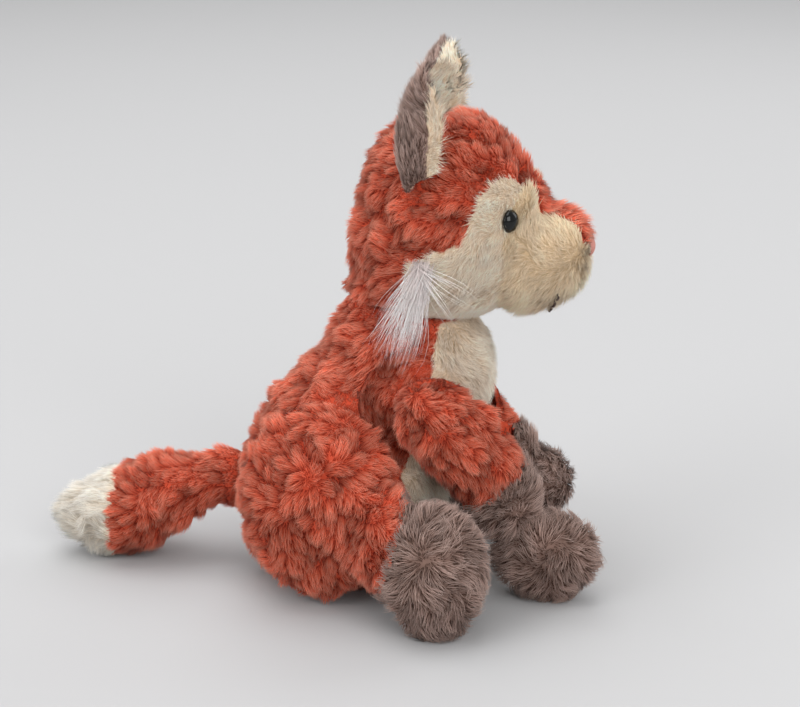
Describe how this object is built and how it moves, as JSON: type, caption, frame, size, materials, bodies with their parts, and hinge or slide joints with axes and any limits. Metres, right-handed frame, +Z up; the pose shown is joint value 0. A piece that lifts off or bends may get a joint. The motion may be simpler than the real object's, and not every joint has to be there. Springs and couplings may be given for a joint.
{
  "type": "plush fox",
  "caption": "Seated soft toy fox: stuffed torso, turning head, swinging arms and legs, lifting tail and folding ears, sewn from plush panels.",
  "frame": {"origin": "middle of the flat seat, on the surface that the toy sits on", "axes": "+Z up, the face looks along -Y and the tail points along +Y, +X is the toy's left"},
  "size_m": [0.1896, 0.2762, 0.2551],
  "materials": {
    "coral_plush": "soft shaggy plush pile",
    "cream_plush": "soft short plush pile",
    "taupe_plush": "soft longer plush pile",
    "white_hair": "long straight synthetic hair",
    "fibre_filling": "loose polyester fibre",
    "pellet_bag": "cotton bag of plastic pellets",
    "eye_black": "polished black dome",
    "washer_plastic": "moulded matt plastic",
    "nose_thread": "satin stitch",
    "mouth_thread": "stitched thread"
  },
  "bodies": {
    "torso": {"torso_cover": "coral_plush", "chest_panel": "cream_plush", "torso_stuffing": "fibre_filling", "seat_pellet_bag": "pellet_bag"},
    "head": {"head_cover": "coral_plush", "cheek_panel_left": "cream_plush", "cheek_panel_right": "cream_plush", "muzzle_cover": "cream_plush", "bridge_strip": "coral_plush", "nose_embroidery": "nose_thread", "mouth_stitch": "mouth_thread", "head_stuffing": "fibre_filling", "eye_left": "eye_black", "eye_right": "eye_black", "eye_washer_left": "washer_plastic", "eye_washer_right": "washer_plastic", "cheek_tuft_left": "white_hair", "cheek_tuft_right": "white_hair"},
    "ear_left": {"ear_back_left": "taupe_plush", "ear_lining_left": "cream_plush"},
    "ear_right": {"ear_back_right": "taupe_plush", "ear_lining_right": "cream_plush"},
    "arm_left": {"arm_sleeve_left": "coral_plush", "paw_left": "taupe_plush", "arm_stuffing_left": "fibre_filling"},
    "arm_right": {"arm_sleeve_right": "coral_plush", "paw_right": "taupe_plush", "arm_stuffing_right": "fibre_filling"},
    "leg_left": {"thigh_left": "coral_plush", "foot_left": "taupe_plush", "leg_stuffing_left": "fibre_filling"},
    "leg_right": {"thigh_right": "coral_plush", "foot_right": "taupe_plush", "leg_stuffing_right": "fibre_filling"},
    "tail": {"tail_cover": "coral_plush", "tail_tip": "cream_plush", "tail_stuffing": "fibre_filling"}
  },
  "joints": [
    {"name": "head_turn", "type": "hinge", "parent": "torso", "child": "head", "pos_m": [0, -0.034, 0.10506], "axis": [0, 0, 1], "range_deg": [-30, 30]},
    {"name": "ear_fold_left", "type": "hinge", "parent": "head", "child": "ear_left", "pos_m": [0.036, -0.03804, 0.21106], "axis": [0.7071, 0, -0.7071], "range_deg": [-20, 30], "stiffness_Nm_per_rad": 0.02},
    {"name": "ear_fold_right", "type": "hinge", "parent": "head", "child": "ear_right", "pos_m": [-0.036, -0.04264, 0.21106], "axis": [0.7071, 0, 0.7071], "range_deg": [-20, 30], "stiffness_Nm_per_rad": 0.02},
    {"name": "arm_swing_left", "type": "hinge", "parent": "torso", "child": "arm_left", "pos_m": [0.034, -0.0493, 0.0938], "axis": [-1, 0, 0], "range_deg": [0, 60]},
    {"name": "arm_swing_right", "type": "hinge", "parent": "torso", "child": "arm_right", "pos_m": [-0.034, -0.0493, 0.0938], "axis": [-1, 0, 0], "range_deg": [0, 60]},
    {"name": "leg_swing_left", "type": "hinge", "parent": "torso", "child": "leg_left", "pos_m": [0.042, 0, 0.052], "axis": [-1, 0, 0], "range_deg": [-15, 8]},
    {"name": "leg_swing_right", "type": "hinge", "parent": "torso", "child": "leg_right", "pos_m": [-0.042, 0, 0.052], "axis": [-1, 0, 0], "range_deg": [-15, 8]},
    {"name": "tail_lift", "type": "hinge", "parent": "torso", "child": "tail", "pos_m": [0, 0.056, 0.044], "axis": [1, 0, 0], "range_deg": [0, 30]}
  ]
}
